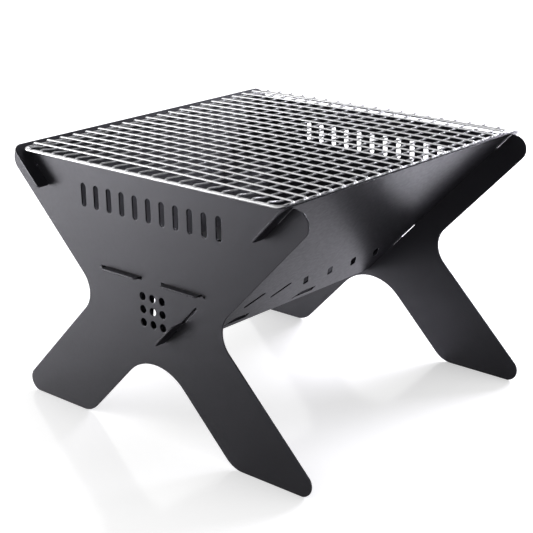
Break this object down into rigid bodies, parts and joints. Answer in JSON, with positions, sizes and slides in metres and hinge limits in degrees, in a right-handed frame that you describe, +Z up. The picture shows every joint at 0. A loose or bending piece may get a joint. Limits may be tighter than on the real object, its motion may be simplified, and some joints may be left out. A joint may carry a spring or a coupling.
{
  "type": "folding campfire grill",
  "caption": "Flat-pack charcoal grill of slotted steel sheets: X-shaped end plates, two leaning side panels, a charcoal plate and a lift-off wire grate.",
  "frame": {"origin": "on the ground under the middle of the grill, at the feet's resting level", "axes": "+X across the X-shaped end plates, to the side with the diagonal slots; +Y along the grill, away from the pictured end plate; +Z up"},
  "size_m": [0.345, 0.3266, 0.2416],
  "materials": {
    "black_steel": "satin black heat-resistant coating on sheet steel, with a fine grain",
    "bright_wire": "bright drawn stainless wire"
  },
  "bodies": {
    "stand": {"end_plate_front": "black_steel", "end_plate_rear": "black_steel", "side_panel_right": "black_steel", "charcoal_plate": "black_steel"},
    "left_panel": {"side_panel_left": "black_steel"},
    "grate": {"grate_frame_wire": "bright_wire", "grate_long_wire_01": "bright_wire", "grate_long_wire_02": "bright_wire", "grate_long_wire_03": "bright_wire", "grate_long_wire_04": "bright_wire", "grate_long_wire_05": "bright_wire", "grate_long_wire_06": "bright_wire", "grate_long_wire_07": "bright_wire", "grate_long_wire_08": "bright_wire", "grate_long_wire_09": "bright_wire", "grate_long_wire_10": "bright_wire", "grate_long_wire_11": "bright_wire", "grate_long_wire_12": "bright_wire", "grate_long_wire_13": "bright_wire", "grate_long_wire_14": "bright_wire", "grate_long_wire_15": "bright_wire", "grate_long_wire_16": "bright_wire", "grate_long_wire_17": "bright_wire", "grate_long_wire_18": "bright_wire", "grate_long_wire_19": "bright_wire", "grate_cross_wire_01": "bright_wire", "grate_cross_wire_02": "bright_wire", "grate_cross_wire_03": "bright_wire", "grate_cross_wire_04": "bright_wire", "grate_cross_wire_05": "bright_wire", "grate_cross_wire_06": "bright_wire", "grate_cross_wire_07": "bright_wire", "grate_cross_wire_08": "bright_wire", "grate_cross_wire_09": "bright_wire", "grate_cross_wire_10": "bright_wire", "grate_cross_wire_11": "bright_wire", "grate_cross_wire_12": "bright_wire", "grate_cross_wire_13": "bright_wire", "grate_cross_wire_14": "bright_wire", "grate_cross_wire_15": "bright_wire", "grate_cross_wire_16": "bright_wire", "grate_cross_wire_17": "bright_wire", "grate_cross_wire_18": "bright_wire", "grate_cross_wire_19": "bright_wire", "grate_cross_wire_20": "bright_wire"}
  },
  "joints": [
    {"name": "grate_lift", "type": "slide", "parent": "stand", "child": "grate", "axis": [0, 0, 1], "range_m": [0, 0.15]},
    {"name": "left_panel_lift", "type": "slide", "parent": "stand", "child": "left_panel", "axis": [-0.7071, 0, 0.7071], "range_m": [0, 0.24]}
  ]
}
